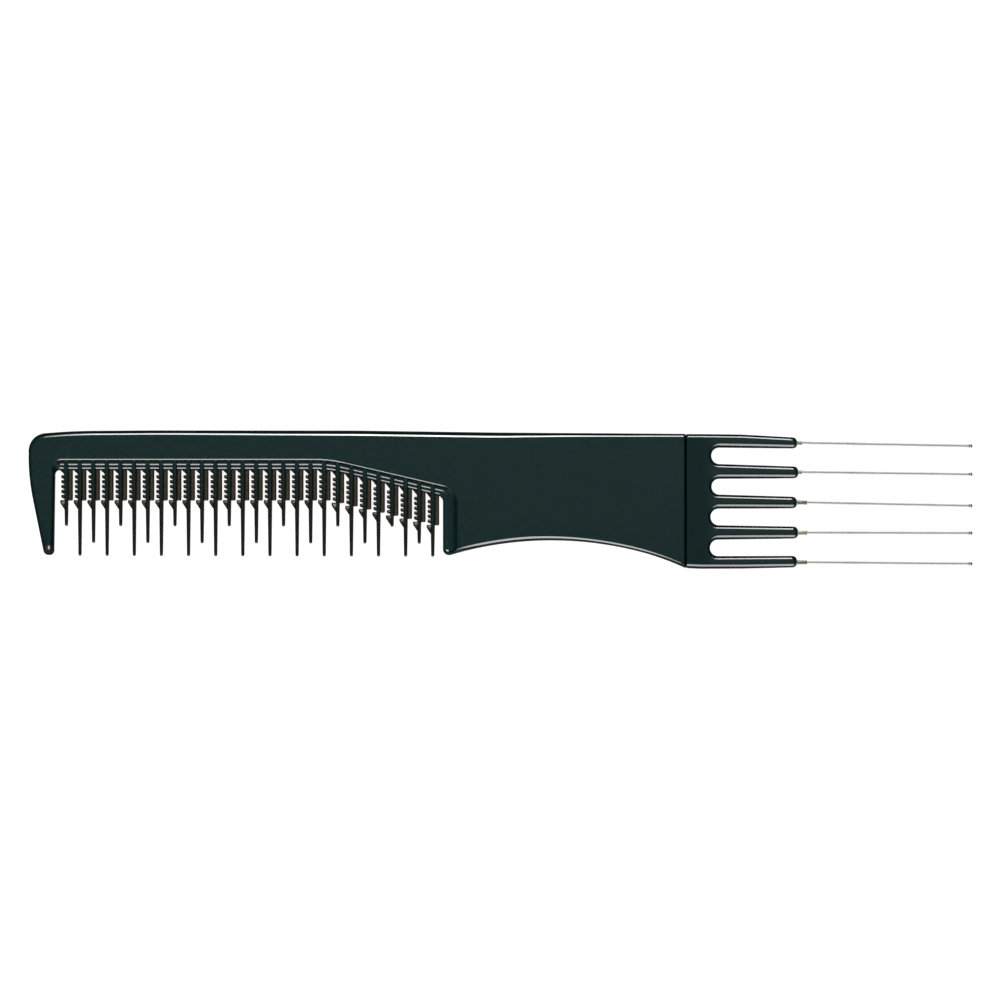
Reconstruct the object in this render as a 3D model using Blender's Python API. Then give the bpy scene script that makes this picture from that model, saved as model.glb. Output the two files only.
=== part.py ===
"""Teasing comb with a five-pronged lifting fork.

The comb lies flat with its prongs towards +X and its teeth towards -Y. The underside is at
z = 0, and the origin is below the middle of the whole comb. Two mouldings make the body: the
blade, with its guard, teeth and handle, and the fork, whose tongue sits in a pocket in the end
of the handle. Each finger of the fork holds a crimped ferrule, and each ferrule holds a wire prong.

Depths are measured from the highest point of the spine, towards the teeth. Stations are measured
from the guard's outer side, towards the prongs.
"""
import math
from collections import namedtuple

import bmesh
import bpy
from mathutils import Matrix, Vector

# Sizes of the blade as a whole, in metres
BLADE_THICKNESS = 0.0040
EDGE_ROUND = 0.0010
WALL_DRAFT = 0.00004
SPINE_DEPTH = 0.00835
TOP_EDGE_FALL = 0.00075

# The guard, the broad tooth at the end of the row
GUARD_WIDTH = 0.00555
GUARD_REACH = 0.02632
GUARD_TIP_WIDTH = 0.00194
GUARD_TIP_THICKNESS = 0.0021
GUARD_INNER_DRAFT = 0.00025
CORNER_DROP = 0.00086
CORNER_EASE = 0.0033
GUARD_ROOT_EASE = 0.00085

# The teeth, in the repeating order short, long, medium, long
TOOTH_COUNT = 28
TOOTH_PITCH = 0.002875
TOOTH_ROOT_WIDTH = 0.00088
TOOTH_TIP_WIDTH = 0.00056
TOOTH_ROOT_THICKNESS = 0.0034
TOOTH_TIP_THICKNESS = 0.0014
TOOTH_TIP_ROUND = 0.00025
SHORT_TOOTH_REACH = 0.02026
MEDIUM_TOOTH_REACH = 0.02384
LONG_TOOTH_OVERHANG = 0.00026
FIRST_TOOTH_OFFSET = 0.00242
LAST_TOOTH_OFFSET = 0.00221

# The thin web on each tooth: a strip on one side, micro teeth and a barb on the other
WEB_THICKNESS = 0.0009
SLIT_WIDTH = 0.00050
MICRO_TOOTH_COUNT = 5
MICRO_TOOTH_PITCH = 0.001035
MICRO_TOOTH_REACH = 0.00063
MICRO_TOOTH_HEIGHT = 0.00080
FIRST_MICRO_TOOTH_DEPTH = 0.00140
BARB_OVERHANG = 0.00023
BARB_DROP = 0.00086
BARB_HEIGHT = 0.00190
ROOT_GUSSET = 0.00100

# The root of the slot, where the face steps down to the teeth
LEDGE_WIDTH = 0.00265
WALL_LEDGE_WIDTH = 0.00307
ROOT_SLOPE_LENGTH = 0.0236
ROOT_SLOPE_DROP = 0.0055
ROOT_CORNER_EASE = 0.0011

# The handle
HANDLE_LENGTH = 0.05144
HEEL_OVERHANG = 0.00045
HEEL_EASE = 0.0019
ARCH_DEPTH = 0.02320

# The fork
FORK_LENGTH = 0.02350
FORK_HEIGHT = 0.02849
FORK_TIP_THICKNESS = 0.0026
FORK_CORNER_STEP = 0.00028
FORK_CORNER_EASE = 0.00045
PALM_LENGTH = 0.00508
FINGER_ROOT_WIDTH = 0.00285
OUTER_FINGER_ROOT_WIDTH = 0.00260
FINGER_TIP_WIDTH = 0.00233
FINGER_EDGE_ROUND = 0.0009
FINGER_LEAN = 0.00054

# The joint between blade and fork
JOINT_GAP = 0.0001
JOINT_EDGE_ROUND = 0.00025
TONGUE_LENGTH = 0.018
TONGUE_WIDTH = 0.014
TONGUE_THICKNESS = 0.0016
TONGUE_CORNER = 0.0015
POCKET_CLEARANCE = 0.0002

# The prongs and their ferrules
PRONG_DIAMETER = 0.00072
PRONG_REACH = 0.03715
PRONG_TIP_DIAMETER = 0.00096
PRONG_SETBACK = 0.0008
FERRULE_WALL = 0.00013
FERRULE_BEDDING = 0.0084
SHORT_FERRULE_PROTRUSION = 0.00095
LONG_FERRULE_PROTRUSION = 0.00205
SHORT_FERRULE_COUNT = 2
FIT_CLEARANCE = 0.0001
OVERRUN = 0.0005

# Shares of the sizes above, chosen by eye along each outline
TOP_EDGE_SHARES = ((0.705, 0.61), (0.50, 0.06), (0.19, 0.0), (0.087, 0.13), (0.049, 0.40))
TOP_EDGE_EASE_SHARE = 0.015
GUARD_OUTER_SHARES = ((0.0, 0.266), (0.090, 0.471))
GUARD_OUTER_EASE_SHARE = 0.09
GUARD_TIP_EASE_SHARES = (0.45, 0.53)
GUARD_TIP_ROUND_SHARE = 0.46
GUARD_TAPER_SHARES = ((0.0, 0.0), (0.35, 0.10), (0.65, 0.34), (0.86, 0.66), (0.96, 0.90), (1.0, 1.0))
LEDGE_SHARES = ((0.0, 0.0), (0.0, 0.275), (0.06, 0.40), (0.23, 0.475),
                (0.385, 0.66), (0.60, 0.76), (0.775, 0.90), (1.0, 1.0))
RIB_HEAD_SHARE = 0.93
RIB_CHAMFER_SHARE = 0.45
RIB_TIP_SHARE = 0.55
MICRO_TOOTH_TIP_SHARE = 0.42
MICRO_TOOTH_UPPER_SHARE = 0.36
WEB_BURY_SHARE = 0.20
ROOT_BURY_SHARE = 0.04
STRIP_END_SHARE = 0.36
BARB_NOSE_SHARE = 0.20
ARCH_CROWN_SHARE = 0.44
PALM_TAPER_SHARES = ((0.0, 0.0), (0.22, 0.03), (0.60, 0.42), (1.0, 1.0))
SLOT_EASE_SHARE = 0.47
FINGER_TIP_EASE_SHARE = 0.40
FINGER_LEAN_SHARES = ((0.0, 1.0), (0.25, 0.66), (0.50, 0.31), (0.75, 0.16), (1.0, -0.37))
FINGER_ROUND_LIMIT_SHARE = 0.42
PALM_EDGE_SHARES = ((0.13, 1.0), (0.50, 0.86))
CORNER_LIMIT_SHARE = 0.49
LEAST_CORNER_SHARE = 0.125
FERRULE_CRIMP_SHARES = ((0.20, 0.93), (0.45, 0.84), (0.70, 0.93), (0.86, 1.0))
BALL_POLE_SHARE = 0.125

# Directions that the wires take, in degrees from the comb's length, one for each finger
PRONG_TILTS_DEG = (-1.09, -0.81, -1.07, -0.10, -0.55)
FINGER_COUNT = len(PRONG_TILTS_DEG)

# Places of the rings round a prong's ball, in degrees from its inner pole
BALL_RINGS_DEG = (50, 90, 130, 160)

# Counts that set how finely the shapes are faceted
BLADE_EDGE_STEPS = 6
FORK_EDGE_STEPS = 4
CORNER_STEPS = 6
FINGER_STEPS = 4
GENTLE_STEPS = 2
SHARP_STEPS = 2
ARCH_STEPS = 14
ROUND_SIDES = 12
SMOOTH_ANGLE_DEG = 35
STRAIGHT_COSINE = 0.9995

# Places worked out from the sizes
half_thickness = BLADE_THICKNESS / 2
slot_width = FIRST_TOOTH_OFFSET + TOOTH_PITCH * (TOOTH_COUNT - 1) + LAST_TOOTH_OFFSET
wall_station = GUARD_WIDTH + slot_width
blade_length = wall_station + HANDLE_LENGTH
fork_station = blade_length + JOINT_GAP
finger_tip_station = fork_station + FORK_LENGTH
slot_end_station = fork_station + PALM_LENGTH
overall_length = finger_tip_station + PRONG_REACH
fork_bottom_depth = TOP_EDGE_FALL + FORK_HEIGHT
joint_bottom_depth = fork_bottom_depth - FORK_CORNER_STEP
heel_depth = GUARD_REACH + HEEL_OVERHANG
long_tooth_reach = GUARD_REACH + LONG_TOOTH_OVERHANG
tooth_gap = TOOTH_PITCH - TOOTH_ROOT_WIDTH
strip_width = tooth_gap - SLIT_WIDTH - MICRO_TOOTH_REACH
last_micro_tooth_depth = FIRST_MICRO_TOOTH_DEPTH + MICRO_TOOTH_PITCH * (MICRO_TOOTH_COUNT - 1)
web_depth = last_micro_tooth_depth + BARB_DROP
bore_depth = FERRULE_BEDDING + FIT_CLEARANCE
prong_bedding = FERRULE_BEDDING - PRONG_SETBACK
ferrule_bore_radius = PRONG_DIAMETER / 2 + FIT_CLEARANCE
ferrule_radius = ferrule_bore_radius + FERRULE_WALL
finger_bore_radius = ferrule_radius + FIT_CLEARANCE

Corner = namedtuple("Corner", "place ease steps edge")


def lerp(start, end, share):
    """The value a share of the way from start to end."""
    return start + (end - start) * share


def share_curve(shares, place):
    """The second value of a table of shares, read at a place along the first."""
    for (near, near_value), (far, far_value) in zip(shares, shares[1:]):
        if place <= far:
            return lerp(near_value, far_value, max(0, place - near) / (far - near))
    return shares[-1][1]


def root_depth(station):
    """Depth of the slot's root, level at first and then sloping down to the handle."""
    slope_start = wall_station - ROOT_SLOPE_LENGTH
    return SPINE_DEPTH + ROOT_SLOPE_DROP * max(0, station - slope_start) / ROOT_SLOPE_LENGTH


def arc_through(start, middle, end, steps):
    """Points from start to end on the circle through three points, both ends included."""
    chord_a = middle - start
    chord_b = end - middle
    normal_a = chord_a.orthogonal()
    span = (end - start) / 2
    reach = span.dot(chord_b) / normal_a.dot(chord_b)
    centre = start + chord_a / 2 + normal_a * reach
    turn = (start - centre).angle_signed(end - centre)
    return [centre + Matrix.Rotation(-turn * step / steps, 2) @ (start - centre)
            for step in range(steps + 1)]


def round_levels(radius, steps):
    """Levels of a rounded edge as (inset, height), from the parting plane up to the face."""
    levels = [(0, 0)]
    for step in range(steps + 1):
        angle = math.radians(90) * step / steps
        inset = WALL_DRAFT + radius * (1 - math.cos(angle))
        levels.append((inset, half_thickness - radius * (1 - math.sin(angle))))
    return levels


def ledge_levels(width):
    """Levels of the stepped ledge that the face comes down to the teeth by."""
    return [(width * inset, half_thickness * height) for inset, height in LEDGE_SHARES]


def left_normal(direction):
    """The direction turned a quarter turn to its left."""
    return Vector((-direction.y, direction.x))


def inset_corner(before, place, after, inset_before, inset_after):
    """Where the two edges at a corner meet once each has moved inwards by its own inset."""
    normal_before = left_normal((place - before).normalized())
    normal_after = left_normal((after - place).normalized())
    cosine = normal_before.dot(normal_after)
    if cosine > STRAIGHT_COSINE:
        return place + (normal_before + normal_after) * (inset_before + inset_after) / 4
    spread = 1 - cosine * cosine
    along_before = (inset_before - inset_after * cosine) / spread
    along_after = (inset_after - inset_before * cosine) / spread
    return place + normal_before * along_before + normal_after * along_after


def level_ring(corners, edge_levels, level):
    """One closed ring of the moulding, as 3D points at the height of its level."""
    insets = [edge_levels[corner.edge][level][0] for corner in corners]
    heights = [edge_levels[corner.edge][level][1] for corner in corners]
    count = len(corners)
    places = [inset_corner(corners[i - 1].place, corners[i].place, corners[(i + 1) % count].place,
                           insets[i - 1], insets[i]) for i in range(count)]
    ring = []
    for i, corner in enumerate(corners):
        place = places[i]
        before = place - places[i - 1]
        after = places[(i + 1) % count] - place
        if corner.steps == 0:
            ring.append(Vector((place.x, place.y, lerp(heights[i - 1], heights[i], 1 / 2))))
            continue
        turn = -before.angle_signed(after)
        half_turn = math.tan(abs(turn) / 2)
        radius = corner.ease / half_turn
        if turn > 0:
            radius = max(radius - (insets[i - 1] + insets[i]) / 2, radius * LEAST_CORNER_SHARE)
        shorter = min(before.length, after.length)
        radius = min(radius, shorter * CORNER_LIMIT_SHARE / half_turn)
        start = place - before.normalized() * radius * half_turn
        centre = start + left_normal(before.normalized()) * math.copysign(radius, turn)
        for step in range(corner.steps + 1):
            share = step / corner.steps
            point = centre + Matrix.Rotation(turn * share, 2) @ (start - centre)
            ring.append(Vector((point.x, point.y, lerp(heights[i - 1], heights[i], share))))
    return ring


def loft(rings):
    """A closed mesh through rings of equal length, capped at both ends."""
    mesh = bmesh.new()
    rows = [[mesh.verts.new(point) for point in ring] for ring in rings]
    count = len(rows[0])
    for lower, upper in zip(rows, rows[1:]):
        for i in range(count):
            j = (i + 1) % count
            mesh.faces.new((lower[i], lower[j], upper[j], upper[i]))
    mesh.faces.new(list(reversed(rows[0])))
    mesh.faces.new(rows[-1])
    return mesh


def moulding(corners, edge_levels):
    """A flat moulding, alike above and below its parting plane, from its outline's corners."""
    level_count = len(edge_levels[corners[0].edge])
    upper = [level_ring(corners, edge_levels, level) for level in range(level_count)]
    lower = [[Vector((point.x, point.y, -point.z)) for point in ring] for ring in upper[:0:-1]]
    return loft(lower + upper)


def cut_across(mesh, place, normal):
    """Adds edges where a plane crosses the mesh, so that it can bend there."""
    geometry = mesh.verts[:] + mesh.edges[:] + mesh.faces[:]
    bmesh.ops.bisect_plane(mesh, geom=geometry, plane_co=place, plane_no=normal)


def thin_out(mesh, station_of, shares, thin_share):
    """Thins the mesh along stations from 0 to 1, down to a share of its thickness at the end."""
    for vertex in mesh.verts:
        station = station_of(vertex.co)
        if station > 0:
            vertex.co.z *= lerp(1, thin_share, share_curve(shares, min(station, 1)))


def principled(name, colour, roughness, metallic):
    """A plain material for one piece."""
    material = bpy.data.materials.new(name)
    material.use_nodes = True
    shader = material.node_tree.nodes["Principled BSDF"]
    shader.inputs["Base Color"].default_value = (*colour, 1)
    shader.inputs["Roughness"].default_value = roughness
    shader.inputs["Metallic"].default_value = metallic
    return material


def piece(name, mesh, parent, material=None):
    """An object from a finished mesh, with its faces pointing out and its round parts smooth."""
    bmesh.ops.triangulate(mesh, faces=mesh.faces)
    bmesh.ops.recalc_face_normals(mesh, faces=mesh.faces)
    data = bpy.data.meshes.new(name)
    mesh.to_mesh(data)
    mesh.free()
    data.shade_smooth()
    data.set_sharp_from_angle(angle=math.radians(SMOOTH_ANGLE_DEG))
    if material:
        data.materials.append(material)
    item = bpy.data.objects.new(name, data)
    bpy.context.scene.collection.objects.link(item)
    item.parent = parent
    return item


def cutter(name, mesh, parent):
    """A guide object that only shapes another piece."""
    item = piece(name, mesh, parent)
    item.hide_render = True
    item.display_type = "WIRE"
    return item


def combine(item, guide, operation):
    """Joins a guide to a piece, or cuts it out."""
    modifier = item.modifiers.new(guide.name, "BOOLEAN")
    modifier.object = guide
    modifier.operation = operation
    modifier.solver = "EXACT"


def merged(meshes):
    """One mesh that holds several separate bodies."""
    whole = bmesh.new()
    for mesh in meshes:
        data = bpy.data.meshes.new("body")
        mesh.to_mesh(data)
        mesh.free()
        whole.from_mesh(data)
        bpy.data.meshes.remove(data)
    return whole


def blade_corners():
    """The blade's outline, from the joint along the spine, round the guard and back."""
    corners = [Corner(Vector((blade_length, -TOP_EDGE_FALL)), JOINT_EDGE_ROUND, SHARP_STEPS, "spine")]
    for station_share, fall_share in TOP_EDGE_SHARES:
        place = Vector((blade_length * station_share, -TOP_EDGE_FALL * fall_share))
        corners.append(Corner(place, blade_length * TOP_EDGE_EASE_SHARE, GENTLE_STEPS, "spine"))
    corners.append(Corner(Vector((0, -CORNER_DROP)), CORNER_EASE, CORNER_STEPS, "guard"))
    for width_share, reach_share in GUARD_OUTER_SHARES:
        place = Vector((GUARD_WIDTH * width_share, -GUARD_REACH * reach_share))
        corners.append(Corner(place, GUARD_REACH * GUARD_OUTER_EASE_SHARE, GENTLE_STEPS, "guard"))
    tip_inner = GUARD_WIDTH - GUARD_INNER_DRAFT
    outer_ease, inner_ease = (GUARD_TIP_WIDTH * share for share in GUARD_TIP_EASE_SHARES)
    corners.append(Corner(Vector((tip_inner - GUARD_TIP_WIDTH, -GUARD_REACH)), outer_ease,
                          CORNER_STEPS, "guard"))
    corners.append(Corner(Vector((tip_inner, -GUARD_REACH)), inner_ease, CORNER_STEPS, "guard"))
    corners.append(Corner(Vector((GUARD_WIDTH, -SPINE_DEPTH)), GUARD_ROOT_EASE, CORNER_STEPS, "root"))
    slope_start = wall_station - ROOT_SLOPE_LENGTH
    corners.append(Corner(Vector((slope_start, -SPINE_DEPTH)), ROOT_CORNER_EASE, GENTLE_STEPS, "root"))
    corners.append(Corner(Vector((wall_station, -root_depth(wall_station))), ROOT_CORNER_EASE,
                          CORNER_STEPS, "wall"))
    heel = Vector((wall_station, -heel_depth))
    crown = Vector((wall_station + HANDLE_LENGTH * ARCH_CROWN_SHARE, -ARCH_DEPTH))
    joint_bottom = Vector((blade_length, -joint_bottom_depth))
    arch = arc_through(heel, crown, joint_bottom, ARCH_STEPS)
    corners.append(Corner(heel, HEEL_EASE, CORNER_STEPS, "arch"))
    corners += [Corner(place, 0, 0, "arch") for place in arch[1:-1]]
    corners.append(Corner(joint_bottom, JOINT_EDGE_ROUND, SHARP_STEPS, "joint"))
    return corners


def blade_body():
    """Spine, guard and handle in one moulding, before the teeth are joined to it."""
    guard_round = min(EDGE_ROUND, GUARD_TIP_WIDTH * GUARD_TIP_ROUND_SHARE)
    edge_levels = {
        "spine": round_levels(EDGE_ROUND, BLADE_EDGE_STEPS),
        "guard": round_levels(guard_round, BLADE_EDGE_STEPS),
        "root": ledge_levels(LEDGE_WIDTH),
        "wall": ledge_levels(WALL_LEDGE_WIDTH),
        "arch": round_levels(EDGE_ROUND, BLADE_EDGE_STEPS),
        "joint": round_levels(JOINT_EDGE_ROUND, BLADE_EDGE_STEPS),
    }
    mesh = moulding(blade_corners(), edge_levels)
    taper_start = SPINE_DEPTH + GUARD_ROOT_EASE
    taper_length = GUARD_REACH - taper_start
    cut_across(mesh, (GUARD_WIDTH + GUARD_ROOT_EASE, 0, 0), (1, 0, 0))
    for share, _ in GUARD_TAPER_SHARES[:-1]:
        cut_across(mesh, (0, -taper_start - taper_length * share, 0), (0, 1, 0))

    def guard_station(place):
        if place.x > GUARD_WIDTH + GUARD_ROOT_EASE:
            return 0
        return (-place.y - taper_start) / taper_length

    thin_out(mesh, guard_station, GUARD_TAPER_SHARES, GUARD_TIP_THICKNESS / BLADE_THICKNESS)
    return mesh


def tooth_station(index):
    """Station of a tooth's middle."""
    return GUARD_WIDTH + FIRST_TOOTH_OFFSET + TOOTH_PITCH * index


def tooth_rib(index):
    """The stiff middle of one tooth: an eight-sided bar that tapers to a blunt tip."""
    station = tooth_station(index)
    reaches = (SHORT_TOOTH_REACH, long_tooth_reach, MEDIUM_TOOTH_REACH, long_tooth_reach)
    reach = reaches[index % len(reaches)]
    head = root_depth(station) - LEDGE_WIDTH * RIB_HEAD_SHARE
    neck = root_depth(station) - LEDGE_WIDTH * ROOT_BURY_SHARE
    depths = (head, neck, reach - TOOTH_TIP_ROUND, reach)
    rings = []
    for depth in depths:
        taper = max(0, depth - neck) / (reach - neck)
        width = lerp(TOOTH_ROOT_WIDTH, TOOTH_TIP_WIDTH, taper) / 2
        height = lerp(TOOTH_ROOT_THICKNESS, TOOTH_TIP_THICKNESS, taper) / 2
        if depth == reach:
            width *= RIB_TIP_SHARE
            height *= RIB_TIP_SHARE
        chamfer = width * RIB_CHAMFER_SHARE
        quarter = ((width, height - chamfer), (width - chamfer, height))
        outline = list(quarter)
        outline += [(-across, up) for across, up in reversed(quarter)]
        outline += [(-across, -up) for across, up in quarter]
        outline += [(across, -up) for across, up in reversed(quarter)]
        rings.append([Vector((station + across, -depth, up)) for across, up in outline])
    return loft(rings)


def web_outline(index):
    """Outline of one tooth's web: strip towards the handle, micro teeth and barb towards the guard."""
    station = tooth_station(index)
    rib_side = TOOTH_ROOT_WIDTH / 2
    inside = rib_side / 2
    strip_side = rib_side + strip_width
    gusset_side = rib_side + ROOT_GUSSET
    root = root_depth(station + rib_side)
    gusset_top = root_depth(station - gusset_side) - LEDGE_WIDTH * ROOT_BURY_SHARE
    top = gusset_top - LEDGE_WIDTH * WEB_BURY_SHARE
    strip_bottom = root + web_depth
    end_round = strip_width * STRIP_END_SHARE
    outline = [
        (strip_side, top),
        (-gusset_side, top),
        (-gusset_side, gusset_top),
        (-inside, root + ROOT_GUSSET),
    ]
    for tooth in range(MICRO_TOOTH_COUNT):
        depth = root + FIRST_MICRO_TOOTH_DEPTH + MICRO_TOOTH_PITCH * tooth
        upper = MICRO_TOOTH_HEIGHT * MICRO_TOOTH_UPPER_SHARE
        tip = MICRO_TOOTH_HEIGHT * MICRO_TOOTH_TIP_SHARE / 2
        outline += [
            (-inside, depth - upper),
            (-rib_side - MICRO_TOOTH_REACH, depth - tip),
            (-rib_side - MICRO_TOOTH_REACH, depth + tip),
            (-inside, depth - upper + MICRO_TOOTH_HEIGHT),
        ]
    barb_side = rib_side + MICRO_TOOTH_REACH + BARB_OVERHANG
    outline += [
        (-inside, strip_bottom),
        (-barb_side, strip_bottom),
        (-barb_side, strip_bottom + BARB_HEIGHT * BARB_NOSE_SHARE),
        (-inside, strip_bottom + BARB_HEIGHT),
        (inside, strip_bottom + end_round),
        (strip_side - end_round, strip_bottom),
        (strip_side, strip_bottom - end_round),
    ]
    return [Vector((station + across, -depth)) for across, depth in outline]


def tooth_web(index):
    """The web as a thin plate on the parting plane."""
    outline = web_outline(index)
    half_web = WEB_THICKNESS / 2
    return loft([[Vector((place.x, place.y, height)) for place in outline]
                 for height in (-half_web, half_web)])


def finger_centre_depths(number):
    """Depths of a finger's middle at its root and at its tip."""
    first = TOP_EDGE_FALL + OUTER_FINGER_ROOT_WIDTH / 2
    last = fork_bottom_depth - OUTER_FINGER_ROOT_WIDTH / 2
    share = number / (FINGER_COUNT - 1)
    root = lerp(first, last, share)
    return root, root + FINGER_LEAN * share_curve(FINGER_LEAN_SHARES, share)


def fork_corners():
    """The fork's outline, from the top of the joint down, along the bottom and back over the fingers."""
    tip_half = FINGER_TIP_WIDTH / 2
    root_half = FINGER_ROOT_WIDTH / 2
    tip_ease = FINGER_TIP_WIDTH * FINGER_TIP_EASE_SHARE
    corners = [
        Corner(Vector((fork_station, -TOP_EDGE_FALL)), FORK_CORNER_EASE, SHARP_STEPS, "joint"),
        Corner(Vector((fork_station, -joint_bottom_depth)), FORK_CORNER_EASE, SHARP_STEPS, "finger"),
    ]
    bottom_tip_depth = finger_centre_depths(FINGER_COUNT - 1)[1] + tip_half
    for length_share, depth_share in PALM_EDGE_SHARES:
        place = Vector((fork_station + FORK_LENGTH * length_share,
                        -lerp(bottom_tip_depth, fork_bottom_depth, depth_share)))
        corners.append(Corner(place, FORK_CORNER_EASE, GENTLE_STEPS, "finger"))
    for number in reversed(range(FINGER_COUNT)):
        root, tip = finger_centre_depths(number)
        for depth in (tip + tip_half, tip - tip_half):
            corners.append(Corner(Vector((finger_tip_station, -depth)), tip_ease, FINGER_STEPS, "finger"))
        if number > 0:
            upper_root = finger_centre_depths(number - 1)[0]
            slot_ease = (root - upper_root - FINGER_ROOT_WIDTH) * SLOT_EASE_SHARE
            for depth in (root - root_half, upper_root + root_half):
                corners.append(Corner(Vector((slot_end_station, -depth)), slot_ease,
                                      FINGER_STEPS, "finger"))
    top_tip_depth = finger_centre_depths(0)[1] - tip_half
    for length_share, depth_share in reversed(PALM_EDGE_SHARES):
        place = Vector((fork_station + FORK_LENGTH * length_share,
                        -lerp(top_tip_depth, TOP_EDGE_FALL, depth_share)))
        corners.append(Corner(place, FORK_CORNER_EASE, GENTLE_STEPS, "finger"))
    return corners


def fork_body():
    """Palm and fingers in one moulding, thinning towards the finger tips."""
    finger_round = min(FINGER_EDGE_ROUND, FINGER_TIP_WIDTH * FINGER_ROUND_LIMIT_SHARE)
    edge_levels = {
        "finger": round_levels(finger_round, FORK_EDGE_STEPS),
        "joint": round_levels(JOINT_EDGE_ROUND, FORK_EDGE_STEPS),
    }
    mesh = moulding(fork_corners(), edge_levels)
    for share, _ in PALM_TAPER_SHARES[1:-1]:
        cut_across(mesh, (fork_station + FORK_LENGTH * share, 0, 0), (1, 0, 0))

    def fork_share(place):
        return (place.x - fork_station) / FORK_LENGTH

    thin_out(mesh, fork_share, PALM_TAPER_SHARES, FORK_TIP_THICKNESS / BLADE_THICKNESS)
    return mesh


def rounded_slab(length, width, thickness, corner, end_station, depth):
    """A flat slab that runs back from end_station, with its two far corners cut off."""
    far = end_station - length
    outline = [
        (end_station, width / 2),
        (far + corner, width / 2),
        (far, width / 2 - corner),
        (far, corner - width / 2),
        (far + corner, -width / 2),
        (end_station, -width / 2),
    ]
    return loft([[Vector((station, across - depth, height)) for station, across in outline]
                 for height in (-thickness / 2, thickness / 2)])


def turned(profile):
    """A closed body turned about the X axis from (station, radius) points, flat at its ends."""
    rings = []
    for station, radius in profile:
        ring = []
        for side in range(ROUND_SIDES):
            angle = math.radians(360) * (side + 1 / 2) / ROUND_SIDES
            ring.append(Vector((station, radius * math.cos(angle), radius * math.sin(angle))))
        rings.append(ring)
    return rings


def tube(outer, inner):
    """A turned body with a bore right through it, from an outer and an inner profile."""
    rings = turned(outer) + turned(list(reversed(inner)))
    mesh = bmesh.new()
    rows = [[mesh.verts.new(point) for point in ring] for ring in rings]
    for first, second in zip(rows, rows[1:] + rows[:1]):
        for i in range(ROUND_SIDES):
            j = (i + 1) % ROUND_SIDES
            mesh.faces.new((first[i], first[j], second[j], second[i]))
    return mesh


def ferrule(protrusion):
    """The crimped ferrule of one prong, from the bottom of its bore to just past the finger's tip."""
    crimps = [(protrusion * place, ferrule_radius * radius) for place, radius in FERRULE_CRIMP_SHARES]
    outer = [(-FERRULE_BEDDING, ferrule_radius), (0, ferrule_radius)] + crimps
    outer.append((protrusion, ferrule_bore_radius + FERRULE_WALL / 2))
    inner = [(-FERRULE_BEDDING, ferrule_bore_radius), (protrusion, ferrule_bore_radius)]
    return tube(outer, inner)


def prong():
    """One wire prong with a small ball formed on its end."""
    radius = PRONG_DIAMETER / 2
    ball = PRONG_TIP_DIAMETER / 2
    centre = PRONG_REACH - ball
    profile = [(-prong_bedding, radius), (centre - PRONG_TIP_DIAMETER, radius)]
    for degrees in BALL_RINGS_DEG:
        angle = math.radians(degrees)
        profile.append((centre - ball * math.cos(angle), ball * math.sin(angle)))
    profile.append((PRONG_REACH, ball * BALL_POLE_SHARE))
    return loft(turned(profile))


for old in list(bpy.data.objects):
    bpy.data.objects.remove(old)

comb = bpy.data.objects.new("comb", None)
bpy.context.scene.collection.objects.link(comb)
comb.location = (-overall_length / 2, fork_bottom_depth / 2, half_thickness)

blade_plastic = principled("blade_plastic", (0.013, 0.026, 0.025), 0.22, 0)
blade = piece("comb_blade", blade_body(), comb, blade_plastic)
ribs = cutter("tooth_ribs", merged(tooth_rib(i) for i in range(TOOTH_COUNT)), comb)
webs = cutter("tooth_webs", merged(tooth_web(i) for i in range(TOOTH_COUNT)), comb)
combine(blade, ribs, "UNION")
combine(blade, webs, "UNION")

joint_middle_depth = (TOP_EDGE_FALL + joint_bottom_depth) / 2
pocket = cutter("pocket", rounded_slab(
    TONGUE_LENGTH + POCKET_CLEARANCE + OVERRUN,
    TONGUE_WIDTH + POCKET_CLEARANCE * 2,
    TONGUE_THICKNESS + POCKET_CLEARANCE * 2,
    TONGUE_CORNER, blade_length + OVERRUN, joint_middle_depth), comb)
combine(blade, pocket, "DIFFERENCE")

fork_plastic = principled("fork_plastic", (0.010, 0.021, 0.020), 0.22, 0)
fork = piece("prong_fork", fork_body(), comb, fork_plastic)
tongue = cutter("tongue", rounded_slab(
    TONGUE_LENGTH + JOINT_GAP + PALM_LENGTH / 2, TONGUE_WIDTH, TONGUE_THICKNESS,
    TONGUE_CORNER, fork_station + PALM_LENGTH / 2, joint_middle_depth), comb)
combine(fork, tongue, "UNION")

ferrule_metal = principled("ferrule_metal", (0.21, 0.20, 0.15), 0.42, 1)
prong_steel = principled("prong_steel", (0.55, 0.54, 0.51), 0.25, 1)
for number in range(FINGER_COUNT):
    seat = bpy.data.objects.new(f"seat_{number + 1}", None)
    bpy.context.scene.collection.objects.link(seat)
    seat.parent = comb
    seat.location = (finger_tip_station, -finger_centre_depths(number)[1], 0)
    seat.rotation_euler = (0, 0, math.radians(PRONG_TILTS_DEG[number]))
    bore = cutter(f"bore_{number + 1}", loft(turned([
        (-bore_depth, finger_bore_radius), (OVERRUN, finger_bore_radius)])), seat)
    combine(fork, bore, "DIFFERENCE")
    protrusion = SHORT_FERRULE_PROTRUSION if number < SHORT_FERRULE_COUNT else LONG_FERRULE_PROTRUSION
    piece(f"ferrule_{number + 1}", ferrule(protrusion), seat, ferrule_metal)
    piece(f"prong_{number + 1}", prong(), seat, prong_steel)
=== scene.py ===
import math
from collections import namedtuple

import bmesh
import bpy
from mathutils import Matrix, Vector


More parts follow.
